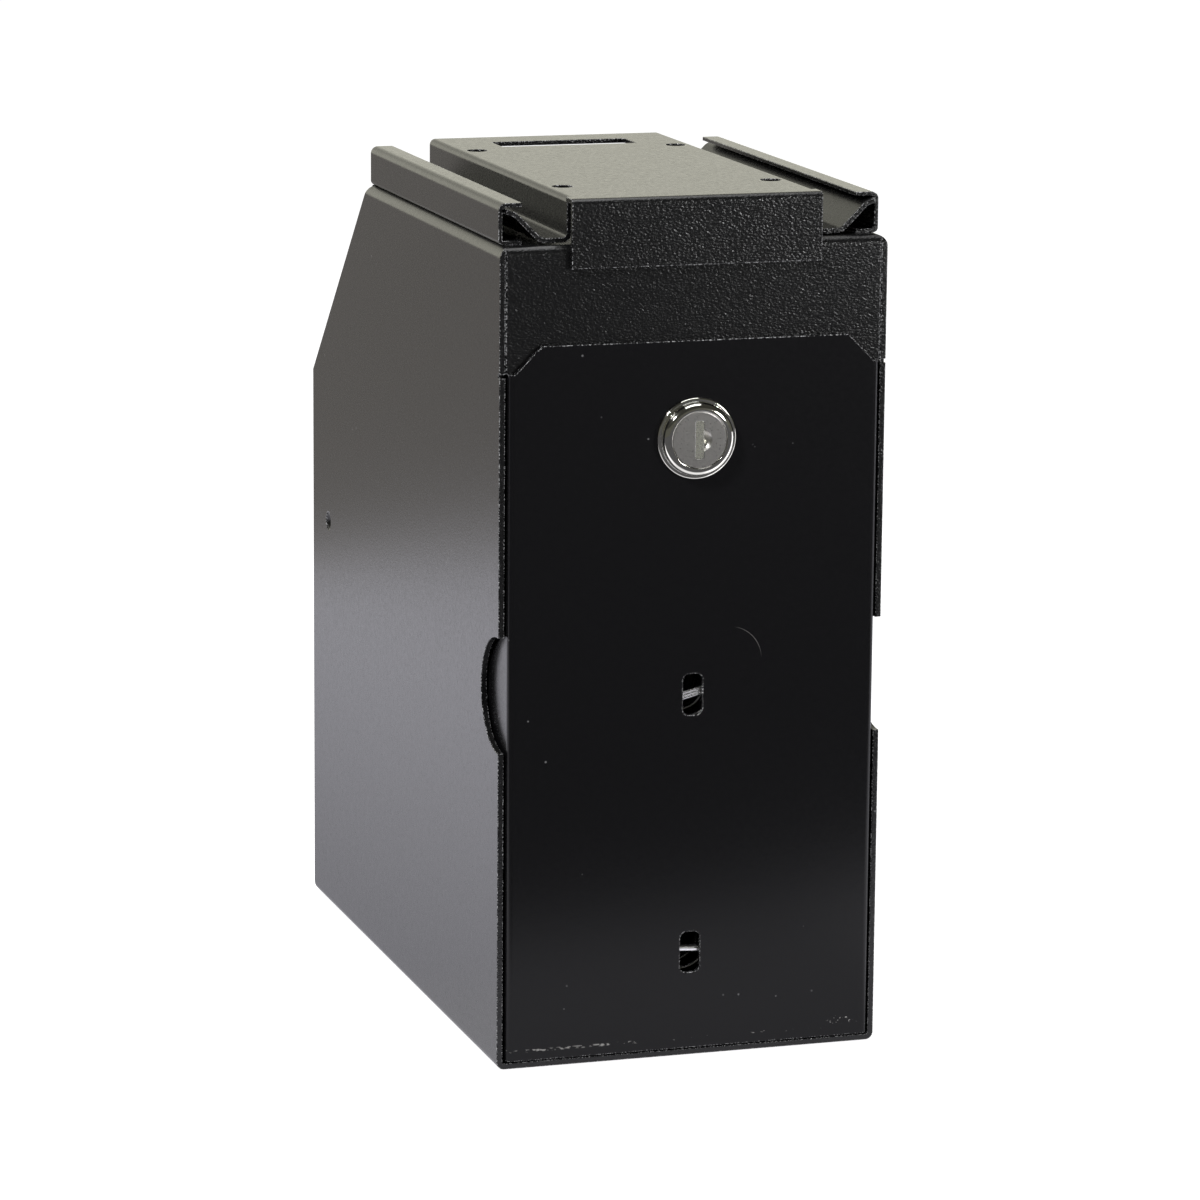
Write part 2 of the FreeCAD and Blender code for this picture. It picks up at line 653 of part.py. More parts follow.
# ---- lock ----
SEAT = FACE
BARREL_END = "(%s + lock_body)" % FACE
barrel = turned("lock_barrel", [
    (SEAT + " - lock_flange", "lock_bezel", "0.5"), (SEAT, "lock_bezel"), (SEAT, "lock_thread"),
    (BARREL_END, "lock_thread"), (BARREL_END, "plug_radius + plug_play"),
    (SEAT + " - lock_head + plug_recess + plug_head_length + plug_play", "plug_radius + plug_play"),
    (SEAT + " - lock_head + plug_recess + plug_head_length + plug_play", "plug_head + plug_play"),
    (SEAT + " - lock_head", "plug_head + plug_play", "0.15"),
    (SEAT + " - lock_head", "lock_ring", "ring_round"), (SEAT + " - lock_flange", "lock_ring")])
for low, high in (("-lock_bezel", "-lock_flat"), ("lock_flat", "lock_bezel")):
    block(barrel, (low, high), (SEAT, BARREL_END + " + 1"), ("-lock_bezel", "lock_bezel"))
place(barrel, z="lock_height")
node("lock_barrel", barrel)

plug = turned("lock_plug", [
    (SEAT + " - lock_head + plug_recess", "0"),
    (SEAT + " - lock_head + plug_recess", "plug_head", "0.25"),
    (SEAT + " - lock_head + plug_recess + plug_head_length", "plug_head"),
    (SEAT + " - lock_head + plug_recess + plug_head_length", "plug_radius"),
    (BARREL_END, "plug_radius"), (BARREL_END, "square_half*1.3"),
    (BARREL_END + " + cam_lift + cam_sheet - 0.1", "square_half*1.3"),
    (BARREL_END + " + cam_lift + cam_sheet - 0.1", "0")])
for low, high in (("square_half", "plug_radius"), ("-plug_radius", "-square_half")):
    block(plug, (low, high), (BARREL_END, BARREL_END + " + 5"), ("-plug_radius", "plug_radius"))
    block(plug, ("-plug_radius", "plug_radius"), (BARREL_END, BARREL_END + " + 5"), (low, high))
FACE_PLUG = "(%s - lock_head + plug_recess)" % SEAT
def key_loop(play):
    """Outline of the key slot, or of a piece that lies in it with some play."""
    across = "(key_width/2 - (%s))" % play
    up = "(key_height/2 - (%s))" % play
    return [("-" + across, "-" + up, "key_round"), (across, "-" + up, "key_round"),
            (across, up, "key_round"), ("-" + across, up, "key_round")]


BALL = "((dish_radius^2 + dish_depth^2)/(2*dish_depth))"
dish = plug.newObject("PartDesign::SubtractiveSphere", "thumb_dish")
dish.setExpression("Radius", formula(BALL))
dish.Angle3 = 180
place(dish, "dish_side", FACE_PLUG + " + dish_depth - " + BALL, "0", (0, 0, 1), -90)
doc.recompute()
prism(plug, "y", FACE_PLUG + " - 1", FACE_PLUG + " + key_depth", [key_loop("0")], cut=True)
prism(plug, "y", BARREL_END + " - bore_reach", BARREL_END + " + 5", [("0", "0", "cam_bore")], cut=True)
place(plug, z="lock_height")
node("lock_plug", plug)

# the sprung shutter that closes the key slot just under the plug's face
shutter = body("key_shutter")
prism(shutter, "y", FACE_PLUG + " + shutter_sink", FACE_PLUG + " + shutter_sink + shutter_thick",
      [key_loop("shutter_play")])
place(shutter, z="lock_height")
node("key_shutter", shutter)

ring_low = REAR
ring_high = "(%s + lock_washer_thick)" % REAR
lock_washer = turned("lock_washer", [
    (ring_low, "lock_thread + washer_play"), (ring_low, "nut_half + washer_over"),
    (ring_high, "nut_half + washer_over"), (ring_high, "lock_thread + washer_play")])
place(lock_washer, z="lock_height")
node("lock_washer", lock_washer)

nut = body("lock_nut")
nut_out = "nut_half/cos(30)"
corners = [("%s * cos(%d)" % (nut_out, 60 * k), "%s * sin(%d)" % (nut_out, 60 * k)) for k in range(6)]
prism(nut, "y", ring_high, ring_high + " + nut_thick", [corners, ("0", "0", "lock_thread + thread_play")])
place(nut, z="lock_height")
node("lock_nut", nut)

CAM_LOW = "(%s + cam_lift)" % BARREL_END
CAM_HIGH = "(%s + cam_lift + cam_sheet)" % BARREL_END
TIP_Y = "(-box_depth/2 + wall + cam_gap)"
cam = body("lock_cam")
prism(cam, "z", "-cam_half", "cam_half", [[
    ("-cam_back", CAM_LOW), ("cam_crank", CAM_LOW, "0.4"), ("cam_crank", TIP_Y, "cam_sheet"),
    ("cam_length", TIP_Y), ("cam_length", TIP_Y + " + cam_sheet"),
    ("cam_crank + cam_sheet", TIP_Y + " + cam_sheet", "0.4"),
    ("cam_crank + cam_sheet", CAM_HIGH, "cam_sheet"), ("-cam_back", CAM_HIGH)]])
square = "(square_half + square_play)"
block(cam, ("-" + square, square), (CAM_LOW + " - 1", CAM_HIGH + " + 1"), ("-" + square, square))
rounded(cam, "cam_end_round", "y", [("-cam_back", "-cam_half"), ("-cam_back", "cam_half")])
rounded(cam, "cam_tip_round", "y", [("cam_length", "-cam_half"), ("cam_length", "cam_half")])
place(cam, z="lock_height")
node("lock_cam", cam)

SCREW_SEAT = "(%s + cam_washer_thick)" % CAM_HIGH
washer = turned("cam_washer", [
    (CAM_HIGH, "cam_bore + washer_play"), (CAM_HIGH, "square_half*1.8"),
    (SCREW_SEAT, "square_half*1.8"), (SCREW_SEAT, "cam_bore + washer_play")])
place(washer, z="lock_height")
node("cam_washer", washer)

screw = body("cam_screw")
head_out = "screw_head_half/cos(30)"
hexagon = [("%s * cos(%d)" % (head_out, 60 * k), "%s * sin(%d)" % (head_out, 60 * k)) for k in range(6)]
prism(screw, "y", SCREW_SEAT, SCREW_SEAT + " + screw_head_thick", [hexagon])
prism(screw, "y", BARREL_END + " - screw_reach", SCREW_SEAT + " + screw_head_thick/2",
      [("0", "0", "cam_bore - thread_play")])
place(screw, z="lock_height")
node("cam_screw", screw)

# ---- follower plate that presses the notes against the drawer's back ----
follower = body("pressure_plate")
edge = "follower_half"
near = "follower_face"
far = "(follower_face + follower_sheet)"
prism(follower, "z", "follower_low + 4", "follower_top", [[
    ("-" + edge, far, "2"), (edge, far, "2"), (edge, near + " - follower_flange"),
    (edge + " - follower_sheet", near + " - follower_flange"), (edge + " - follower_sheet", near, "0.8"),
    ("-" + edge + " + follower_sheet", near, "0.8"),
    ("-" + edge + " + follower_sheet", near + " - follower_flange"),
    ("-" + edge, near + " - follower_flange")]])
prism(follower, "x", "-" + edge + " + 3", edge + " - 3", [[
    (far, "follower_low", "2"), (far, "follower_low + 6"), (near, "follower_low + 6"),
    (near, "follower_low + follower_sheet", "0.8"),
    (near + " - follower_flange", "follower_low + follower_sheet"),
    (near + " - follower_flange", "follower_low")]])
node("pressure_plate", follower)

cups = []
for height in ("upper_window", "lower_window"):
    cup = turned("cup_" + height, [
        (near, "0"), (near, "cup_radius", "0.6"), (near + " - cup_depth", "cup_radius"),
        (near + " - cup_depth", "cup_radius - cup_wall"),
        (near + " - cup_wall", "cup_radius - cup_wall"), (near + " - cup_wall", "0")])
    place(cup, z=height)
    cups.append(cup)
node("spring_cups", together("spring_cups", cups))

# ---- springs and the wires that anchor them behind the two windows ----
COIL_LOW = "(%s + 2*anchor_radius + coil_clear + coil_wire)" % REAR
COIL_HIGH = "(%s - cup_wall - coil_clear - coil_wire)" % near
LENGTH = "(%s - %s)" % (COIL_HIGH, COIL_LOW)
for name, height, turn in (("upper_spring", "upper_window", 0), ("lower_spring", "lower_window", 180)):
    spring = coil(name, LENGTH + "/coil_turns", LENGTH, "coil_radius", "coil_wire",
                  ("0", COIL_LOW, height), (1, 0, 0), -90, turn)
    node(name, spring)

strands = []
for k in (-1, 0, 1):
    strand = rod("strand_%d" % (k + 1), "strand_radius", "2*anchor_half",
                 ("-anchor_half*cos(strand_tilt) - %d*2*strand_radius*sin(strand_tilt)" % k,
                  REAR + " + strand_radius + anchor_gap",
                  "upper_window - anchor_half*sin(strand_tilt) + %d*2*strand_radius*cos(strand_tilt)" % k),
                 (0, 1, 0), 90 - SIZES["strand_tilt"])
    strands.append(strand)
node("upper_anchor_wire", joined("upper_anchor_wire", strands))
node("lower_anchor_pin", rod("lower_anchor_pin", "anchor_radius", "2*anchor_half",
     ("-anchor_half*cos(pin_tilt)", REAR + " + anchor_radius + anchor_gap",
      "lower_window + pin_lift + anchor_half*sin(pin_tilt)"), (0, 1, 0), 90 + SIZES["pin_tilt"]))

# ---- note slot bezel, flap and flap hinge, drawn in the slope's own frame ----
bezel = body("note_slot_bezel")


def frame_loop(grow, radius):
    return [("-slot_width/2 - (%s)" % grow, "-slot_opening/2 - (%s)" % grow, radius),
            ("slot_width/2 + (%s)" % grow, "-slot_opening/2 - (%s)" % grow, radius),
            ("slot_width/2 + (%s)" % grow, "slot_opening/2 + (%s)" % grow, radius),
            ("-slot_width/2 - (%s)" % grow, "slot_opening/2 + (%s)" % grow, radius)]


prism(bezel, "z", "0", "bezel_face", [frame_loop("bezel_wall + bezel_border", "2")])
prism(bezel, "z", "-wall - flap_gap + flap_seat", "0.1", [frame_loop("bezel_wall", "0.4")])
prism(bezel, "z", "-3*wall", "2*bezel_face", [frame_loop("0", "0.8")], cut=True)
on_slope(bezel, "0", "slot_down", "0")
node("note_slot_bezel", bezel)

hinge = body("flap_bracket")
prism(hinge, "z", "-wall - ear_sheet", "-wall", [[
    ("-ear_outer", "ear_top", "1"), ("ear_outer", "ear_top", "1"),
    ("ear_outer", "ear_top + ear_web"), ("-ear_outer", "ear_top + ear_web")]])
for low, high in (("-ear_outer", "-ear_outer + ear_sheet"), ("ear_outer - ear_sheet", "ear_outer")):
    prism(hinge, "x", low, high, [
        [("ear_top + ear_web/2", "-wall"), ("ear_top + ear_web - 1", "-wall"),
         ("pin_down + ear_half", "-wall - 0.4", "1"),
         ("pin_down + ear_half", "-pin_depth - ear_half", "ear_half*0.8"),
         ("pin_down - ear_half", "-pin_depth - ear_half", "ear_half*0.8"),
         ("ear_top + ear_web/2", "-wall - 3")],
        ("pin_down", "-pin_depth", "pin_radius")])
on_slope(hinge, "0", "0", "0")
node("flap_bracket", hinge)

PIN_Y = "(%s + (pin_down - pin_depth)/sqrt(2))" % SLOPE_TOP
PIN_Z = "(box_height - (pin_down + pin_depth)/sqrt(2))"
node("flap_pin", rod("flap_pin", "pin_radius", "2*ear_outer + 2*pin_over",
     ("-ear_outer - pin_over", PIN_Y, PIN_Z), (0, 1, 0), 90))

flap = body("note_flap")
knuckle = "(pin_radius + pin_play + knuckle_wall)"
plate_out = "(-wall - flap_gap)"
for low, high in (("-flap_half", "-knuckle_inner"), ("knuckle_inner", "flap_half")):
    prism(flap, "x", low, high, [("pin_down", "-pin_depth", knuckle)])
prism(flap, "z", plate_out + " - flap_sheet", plate_out, [[
    ("-flap_half", "pin_down"), ("-knuckle_inner", "pin_down"), ("-knuckle_inner", "pin_down + 3"),
    ("knuckle_inner", "pin_down + 3"), ("knuckle_inner", "pin_down"), ("flap_half", "pin_down"),
    ("flap_half", "pin_down + flap_length", "2"), ("-flap_half", "pin_down + flap_length", "2")]])
prism(flap, "x", "-flap_half - 1", "flap_half + 1", [("pin_down", "-pin_depth", "pin_radius + pin_play")],
      cut=True)
on_slope(flap, "0", "0", "0")
node("note_flap", flap)

TURNS = "(flap_turns + flap_leg_tilt/180)"
wound = coil("flap_coil_wire", "flap_pitch", "flap_pitch*" + TURNS, "flap_coil", "flap_wire",
             ("-flap_pitch*%s/2" % TURNS, PIN_Y, PIN_Z), (0, 1, 0), 90, -45 - SIZES["flap_leg_tilt"])
# each leg leaves the coil along its tangent: one ends under the flap, the other under the bracket
REACH = "(pin_depth + flap_coil*cos(flap_leg_tilt) - wall - flap_wire - flap_leg_gap"
legs = []
for name, side, tilt, cleared in (("leg_flap", "", SIZES["flap_leg_tilt"], "flap_gap - flap_sheet"),
                                  ("leg_bracket", "-", -SIZES["flap_leg_tilt"], "ear_sheet")):
    start = -135 + tilt
    heading = tilt - 135 if tilt > 0 else tilt + 45
    legs.append(rod(name, "flap_wire", REACH + " - %s)/sin(flap_leg_tilt)" % cleared,
                    (side + "flap_pitch*%s/2" % TURNS, PIN_Y + " + flap_coil*cos(%s)" % start,
                     PIN_Z + " + flap_coil*sin(%s)" % start), (1, 0, 0), heading))
node("flap_spring", joined("flap_spring", [wound] + legs))

doc.recompute()

# ---- checks and files ----
os.makedirs("parts", exist_ok=True)
for item in doc.Objects:
    if "Invalid" in item.State or "Error" in item.State:
        raise RuntimeError("broken feature: %s %s" % (item.Name, item.State))
for name, item in nodes.items():
    shape = item.Shape
    if shape.isNull() or not shape.isValid() or not shape.Solids:
        raise RuntimeError("bad shape: " + name)
    box = shape.BoundBox
    print("%-18s solids %d  volume %9.1f  x %7.2f %7.2f  y %7.2f %7.2f  z %7.2f %7.2f" % (
        name, len(shape.Solids), shape.Volume, box.XMin, box.XMax, box.YMin, box.YMax, box.ZMin, box.ZMax))
    shape.exportStep("parts/%s.step" % name)
print("nodes", len(nodes))
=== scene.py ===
# %% [markdown]
# # A cash deposit box that hangs under a counter
#
# The real box is folded from sheet steel and powder coated black. Its drawer fills the front,
# behind a cam lock, and a flat bracket runs in two rails on its top. Everything with a fit or a
# motion is already solid in the frame that this script loads, down to the dished rivets and the
# key's slot. What is left for Blender is the finish of each piece, and the studio around it.

# %% Load the frame
import json
import math

import bmesh
import bpy
from mathutils import Matrix, Vector


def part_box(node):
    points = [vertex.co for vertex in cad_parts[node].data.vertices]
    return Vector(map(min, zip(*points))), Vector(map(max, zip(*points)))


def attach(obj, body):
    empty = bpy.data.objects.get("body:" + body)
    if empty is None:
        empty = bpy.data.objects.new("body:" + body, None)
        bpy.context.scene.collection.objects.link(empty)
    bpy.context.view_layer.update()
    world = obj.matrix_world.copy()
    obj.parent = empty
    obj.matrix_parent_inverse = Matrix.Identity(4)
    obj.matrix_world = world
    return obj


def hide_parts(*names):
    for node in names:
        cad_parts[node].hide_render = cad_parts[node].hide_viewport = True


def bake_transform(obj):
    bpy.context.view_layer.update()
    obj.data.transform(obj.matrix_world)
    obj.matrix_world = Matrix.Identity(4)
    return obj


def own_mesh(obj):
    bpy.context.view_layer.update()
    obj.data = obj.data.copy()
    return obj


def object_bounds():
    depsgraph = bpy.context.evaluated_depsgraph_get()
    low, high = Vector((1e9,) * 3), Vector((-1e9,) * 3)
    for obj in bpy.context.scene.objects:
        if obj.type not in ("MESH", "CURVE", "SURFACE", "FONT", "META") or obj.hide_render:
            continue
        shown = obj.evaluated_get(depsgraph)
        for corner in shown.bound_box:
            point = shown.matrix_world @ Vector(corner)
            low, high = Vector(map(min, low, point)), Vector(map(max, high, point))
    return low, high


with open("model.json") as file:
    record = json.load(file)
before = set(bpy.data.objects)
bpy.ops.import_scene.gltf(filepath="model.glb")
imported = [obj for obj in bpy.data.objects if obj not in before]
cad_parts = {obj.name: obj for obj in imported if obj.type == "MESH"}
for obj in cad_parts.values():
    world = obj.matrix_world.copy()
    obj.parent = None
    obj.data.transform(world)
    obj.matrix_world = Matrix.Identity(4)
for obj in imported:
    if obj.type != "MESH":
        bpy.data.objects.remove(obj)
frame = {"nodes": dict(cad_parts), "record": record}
cad_box = [list(corner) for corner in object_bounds()]
MM = 0.001

# %% [markdown]
# ## Small helpers for shader nodes
#
# A node tree built by hand repeats three moves: add a node, set some of its sockets, and link
# it on. One helper that does all three keeps each finish short enough to read in one go.

# %% Helpers for shader nodes


class Finish:
    """A new node material, with short calls to add and link its nodes."""

    def __init__(self, name):
        self.material = bpy.data.materials.new(name)
        self.material.use_nodes = True
        self.tree = self.material.node_tree
        self.shader = next(n for n in self.tree.nodes if n.type == "BSDF_PRINCIPLED")
        self.place = self.add("ShaderNodeTexCoord").outputs["Object"]

    def add(self, kind, settings=None, **sockets):
        """Add a node; settings are its properties, sockets are values or links by socket name."""
        node = self.tree.nodes.new(kind)
        for name, value in (settings or {}).items():
            setattr(node, name, value)
        for name, value in sockets.items():
            self.join(value, node.inputs[name.replace("_", " ")])
        return node

    def join(self, value, socket):
        if isinstance(value, bpy.types.NodeSocket):
            self.tree.links.new(value, socket)
        else:
            socket.default_value = value

    def noise(self, scale, detail=2.0, distortion=0.0, place=None):
        """Soft noise on object coordinates; scale is in features per metre."""
        node = self.add("ShaderNodeTexNoise", Vector=place or self.place, Scale=scale,
                        Detail=detail, Distortion=distortion)
        return node.outputs["Fac"]

    def ramp(self, value, low, high, first=0.0, last=1.0):
        """Spread the stretch from low to high over first to last, and hold it outside."""
        node = self.add("ShaderNodeMapRange", Value=value)
        for name, end in (("From Min", low), ("From Max", high), ("To Min", first), ("To Max", last)):
            self.join(end, node.inputs[name])
        return node.outputs["Result"]

    def maths(self, operation, first, second=0.0):
        node = self.add("ShaderNodeMath", {"operation": operation})
        self.join(first, node.inputs[0])
        self.join(second, node.inputs[1])
        return node.outputs[0]

    def times(self, first, *others):
        for other in others:
            first = self.maths("MULTIPLY", first, other)
        return first

    def away(self, value, centre):
        """How far a value is from a centre, whichever side it is on."""
        return self.maths("ABSOLUTE", self.maths("SUBTRACT", value, centre))

    def blend(self, amount, first, second):
        """Colour that goes from first to second as amount goes from 0 to 1."""
        node = self.add("ShaderNodeMix", {"data_type": "RGBA"})
        self.join(amount, node.inputs["Factor"])
        for socket, value in ((node.inputs[6], first), (node.inputs[7], second)):
            self.join(value if isinstance(value, bpy.types.NodeSocket) else (*value, 1.0), socket)
        return node.outputs[2]

    def relief(self, height, distance, strength=1.0, under=None):
        """Bump of a given depth in metres, on top of another normal if there is one."""
        node = self.add("ShaderNodeBump", Height=height, Distance=distance, Strength=strength)
        if under is not None:
            self.join(under, node.inputs["Normal"])
        return node.outputs["Normal"]

    def set(self, **sockets):
        for name, value in sockets.items():
            self.join(value, self.shader.inputs[name.replace("_", " ")])


EDGE_STARTS = 0.995
EDGE_FULL = 0.9


def worn_edge(finish, radius):
    """(normal rounded at the edges, how near an edge a point is): cut sheet is never knife sharp."""
    bevel = finish.add("ShaderNodeBevel", {"samples": 6}, Radius=radius)
    flat = finish.add("ShaderNodeNewGeometry").outputs["Normal"]
    turn = finish.add("ShaderNodeVectorMath", {"operation": "DOT_PRODUCT"})
    finish.join(bevel.outputs["Normal"], turn.inputs[0])
    finish.join(flat, turn.inputs[1])
    return bevel.outputs["Normal"], finish.ramp(turn.outputs["Value"], EDGE_STARTS, EDGE_FULL)


# %% [markdown]
# ## Black powder coat
#
# Powder coat is sprayed dry and melts into a skin with a fine leathery texture. Two noises
# give it: lumps a little over half a millimetre apart, and a slower swell under them. The lumps
# stand highest on the faces towards the front, where they were sprayed thickest. The black
# itself is very dark, so nearly all that is seen is reflection: the roughness and the relief
# matter more than the colour. Along cut edges the powder pulls thin, is glossier and catches
# light. The paler dots there are partly chipped paint and partly a painted highlight.

# %% Powder coat
WORN_RADIUS = 0.45 * MM
SQUASH = (0.75, 1.0, 1.25)
GLINT_AND_CHIP_DOTS_PER_METRE = 2200
MOTES_PER_METRE = 210.0
EDGE_HIGHLIGHT_AND_DUST = (0.75, 0.75, 0.77)
ROUGHNESS_SPREAD = 0.03
EDGE_ROUGHNESS = (0.16, 0.20)


def powder_coat(name, black, roughness, lumps, depth, front_depth, dust):
    """lumps is their number per metre; their height is depth, and front_depth on faces to -Y."""
    finish = Finish(name)
    rounded, edge = worn_edge(finish, WORN_RADIUS)
    squashed = finish.add("ShaderNodeMapping", Vector=finish.place, Scale=SQUASH)
    lump = finish.ramp(finish.noise(lumps, detail=1.0, place=squashed.outputs[0]), 0.30, 0.70)
    orange_peel = finish.noise(lumps / 6, detail=1.0)
    flat = finish.add("ShaderNodeNewGeometry").outputs["True Normal"]
    facing = finish.add("ShaderNodeSeparateXYZ", Vector=flat)
    height = finish.ramp(facing.outputs["Y"], -0.5, -0.9, depth / front_depth, 1.0)
    height = finish.maths("MAXIMUM", height, edge)
    skin = finish.relief(orange_peel, depth * 1.5, under=rounded)
    skin = finish.relief(finish.times(lump, height), front_depth, under=skin)
    # paler dots along the edges, partly chipped paint and partly a painted highlight, and now and then
    # a mote of dust
    glint_and_chip_dots = finish.ramp(finish.noise(GLINT_AND_CHIP_DOTS_PER_METRE, detail=2.0), 0.50, 0.62)
    edge_glints_and_chips = finish.times(edge, glint_and_chip_dots)
    motes = finish.add("ShaderNodeTexVoronoi", {"feature": "F1"}, Vector=finish.place,
                       Scale=MOTES_PER_METRE)
    mote = finish.ramp(motes.outputs["Distance"], 0.075, 0.04)
    rare = finish.ramp(finish.noise(60, detail=1.0), 0.62, 0.68)
    pale = finish.maths("MAXIMUM", edge_glints_and_chips, finish.times(mote, rare, dust))
    smoothest = finish.ramp(edge, 0.0, 1.0, roughness - ROUGHNESS_SPREAD, EDGE_ROUGHNESS[0])
    roughest = finish.ramp(edge, 0.0, 1.0, roughness + ROUGHNESS_SPREAD, EDGE_ROUGHNESS[1])
    # the paler colour along the edges is partly a painted highlight, and the rest is chipped paint and
    # dust
    finish.set(Base_Color=finish.blend(pale, black, EDGE_HIGHLIGHT_AND_DUST), Normal=skin,
               Roughness=finish.ramp(finish.noise(900, detail=3.0), 0.3, 0.7, smoothest, roughest))
    return finish


coarse_coat = powder_coat("textured_powder_coat", (0.0062, 0.0062, 0.0067), 0.25, 1700,
                          0.007 * MM, 0.046 * MM, dust=0.2)
bracket_coat = powder_coat("bracket_powder_coat", (0.0062, 0.0062, 0.0067), 0.26, 1600,
                           0.007 * MM, 0.062 * MM, dust=0.2)
print("made", coarse_coat.material.name, "and", bracket_coat.material.name)

# %% [markdown]
# ## The drawer's smoother coat
#
# The drawer was coated apart from the housing and came out smoother, with a weaker mirror.
# It is also the piece that hands and keys touch, so its paint has marks: a dashed scuff just
# above its lower edge, densest at the left, a few nicks at the right corner, and one curved
# scratch. Each is a noise or a line that is held in place by the distance from a chosen point.

# %% Drawer coat
drawer_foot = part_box("drawer_wrap")[0].z
SCUFF_X = -31 * MM
SCUFF_Z = drawer_foot + 2.6 * MM
NICKS_X = 42 * MM
NICKS_Z = drawer_foot + 4.2 * MM
SCRATCH_X = 9.5 * MM
SCRATCH_Z = 104.5 * MM
SCRATCH_RADIUS = 9.0 * MM
SCRATCH_PALE = 0.35
MARKED = (0.42, 0.41, 0.40)


def scuff_line(finish, across, height):
    """Short dashes in a narrow band, densest around SCUFF_X."""
    band = finish.ramp(finish.away(height, SCUFF_Z), 0.45 * MM, 0.15 * MM)
    denser = finish.ramp(finish.away(across, SCUFF_X), 22 * MM, 8 * MM, 0.0, 0.13)
    dashes = finish.add("ShaderNodeMapping", Vector=finish.place, Scale=(0.5, 0.5, 1.0))
    noise = finish.noise(1300, detail=3.0, place=dashes.outputs[0])
    return finish.times(band, finish.ramp(finish.maths("ADD", noise, denser), 0.64, 0.72))


def nick_cluster(finish, across, height):
    """A few tiny nicks around one point."""
    near_x = finish.ramp(finish.away(across, NICKS_X), 5 * MM, 2 * MM)
    near_z = finish.ramp(finish.away(height, NICKS_Z), 1.2 * MM, 0.6 * MM)
    return finish.times(near_x, near_z, finish.ramp(finish.noise(1500, detail=2.0), 0.64, 0.70))


def curved_scratch(finish, across, height):
    """A hair line on a circle, kept to its upper right part."""
    out_x = finish.maths("SUBTRACT", across, SCRATCH_X)
    out_z = finish.maths("SUBTRACT", height, SCRATCH_Z)
    squares = finish.maths("ADD", finish.times(out_x, out_x), finish.times(out_z, out_z))
    line = finish.ramp(finish.away(finish.maths("SQRT", squares), SCRATCH_RADIUS), 0.10 * MM, 0.03 * MM)
    above = finish.ramp(out_z, 0.5 * MM, 4.5 * MM)
    beside = finish.ramp(out_x, 1.5 * MM, 5.0 * MM)
    return finish.times(line, above, beside, SCRATCH_PALE)


def drawer_coat():
    finish = powder_coat("drawer_powder_coat", (0.0072, 0.0071, 0.0080), 0.21, 1500,
                         0.004 * MM, 0.004 * MM, dust=0.3)
    finish.shader.inputs["Specular IOR Level"].default_value = 0.25
    apart = finish.add("ShaderNodeSeparateXYZ", Vector=finish.place)
    across, height = apart.outputs["X"], apart.outputs["Z"]
    scuffs = finish.maths("MAXIMUM", scuff_line(finish, across, height),
                          nick_cluster(finish, across, height))
    marks = finish.maths("MAXIMUM", scuffs, curved_scratch(finish, across, height))
    painted = finish.shader.inputs["Base Color"].links[0].from_socket
    finish.set(Base_Color=finish.blend(marks, painted, MARKED))
    return finish


smooth_coat = drawer_coat()
print("made", smooth_coat.material.name)

# %% [markdown]
# ## Metals and plastics
#
# The lock's head is polished chrome over zinc, and its face is satin nickel. The inner parts
# are zinc plated or drawn wire. Each is a metal with its own roughness, broken up by fine noise
# so that no surface reflects like a perfect mirror, with a painted highlight, a paler colour,
# along its edges. The plastics are the pale glides under the drawer and the black rim of the note slot.

# %% Metals and plastics
METAL_EDGE = 0.15 * MM
PLASTIC_EDGE = 0.3 * MM
METAL_EDGE_HIGHLIGHT = (0.95, 0.95, 0.93)


def metal(name, colour, roughness, grain, depth=0.004 * MM):
    """grain is its number of marks per metre, and depth how deep they are."""
    finish = Finish(name)
    marks = finish.noise(grain, detail=4.0)
    rounded, edge = worn_edge(finish, METAL_EDGE)
    tone = finish.blend(finish.ramp(marks, 0.35, 0.65), [c * 0.93 for c in colour], colour)
    # the paler colour along the edges is a painted highlight
    finish.set(Base_Color=finish.blend(edge, tone, METAL_EDGE_HIGHLIGHT),
               Roughness=finish.ramp(marks, 0.3, 0.7, roughness * 0.9, roughness * 1.1),
               Normal=finish.relief(marks, depth, under=rounded))
    finish.shader.inputs["Metallic"].default_value = 1.0
    return finish


def plastic(name, colour, roughness):
    """Slightly cloudy in colour and finely pitted."""
    finish = Finish(name)
    cloudy = finish.noise(90, detail=2.0)
    pitted = finish.noise(3200, detail=2.0)
    rounded = worn_edge(finish, PLASTIC_EDGE)[0]
    finish.set(Base_Color=finish.blend(cloudy, [c * 0.9 for c in colour], colour),
               Roughness=finish.ramp(pitted, 0.3, 0.7, roughness - 0.05, roughness + 0.05),
               Normal=finish.relief(pitted, 0.01 * MM, under=rounded))
    return finish


finishes = {
    "black_powder_coat": coarse_coat,
    "black_drawer_coat": smooth_coat,
    "dark_rivet": coarse_coat,
    "lock_chrome": metal("polished_chrome", (0.92, 0.91, 0.84), 0.07, 1800, depth=0.001 * MM),
    "lock_satin": metal("satin_nickel", (0.60, 0.585, 0.56), 0.30, 2400, depth=0.0005 * MM),
    "zinc_plate": metal("zinc_plate", (0.55, 0.56, 0.58), 0.34, 420),
    "spring_steel": metal("drawn_wire", (0.92, 0.92, 0.93), 0.20, 1500),
    "glide_plastic": plastic("white_glide_plastic", (0.70, 0.70, 0.68), 0.45),
    "bezel_plastic": plastic("black_bezel_plastic", (0.016, 0.016, 0.017), 0.42),
}

# %% [markdown]
# ## Dress the frame
#
# The record says which slot each node belongs to, so the finishes go on by slot. Two nodes
# differ from the rest of their slot and are named: the bracket, whose coat is coarser, and the
# shutter in the key's slot, which is paler. The shapes stay as they are: only the material in
# each object's slot changes.

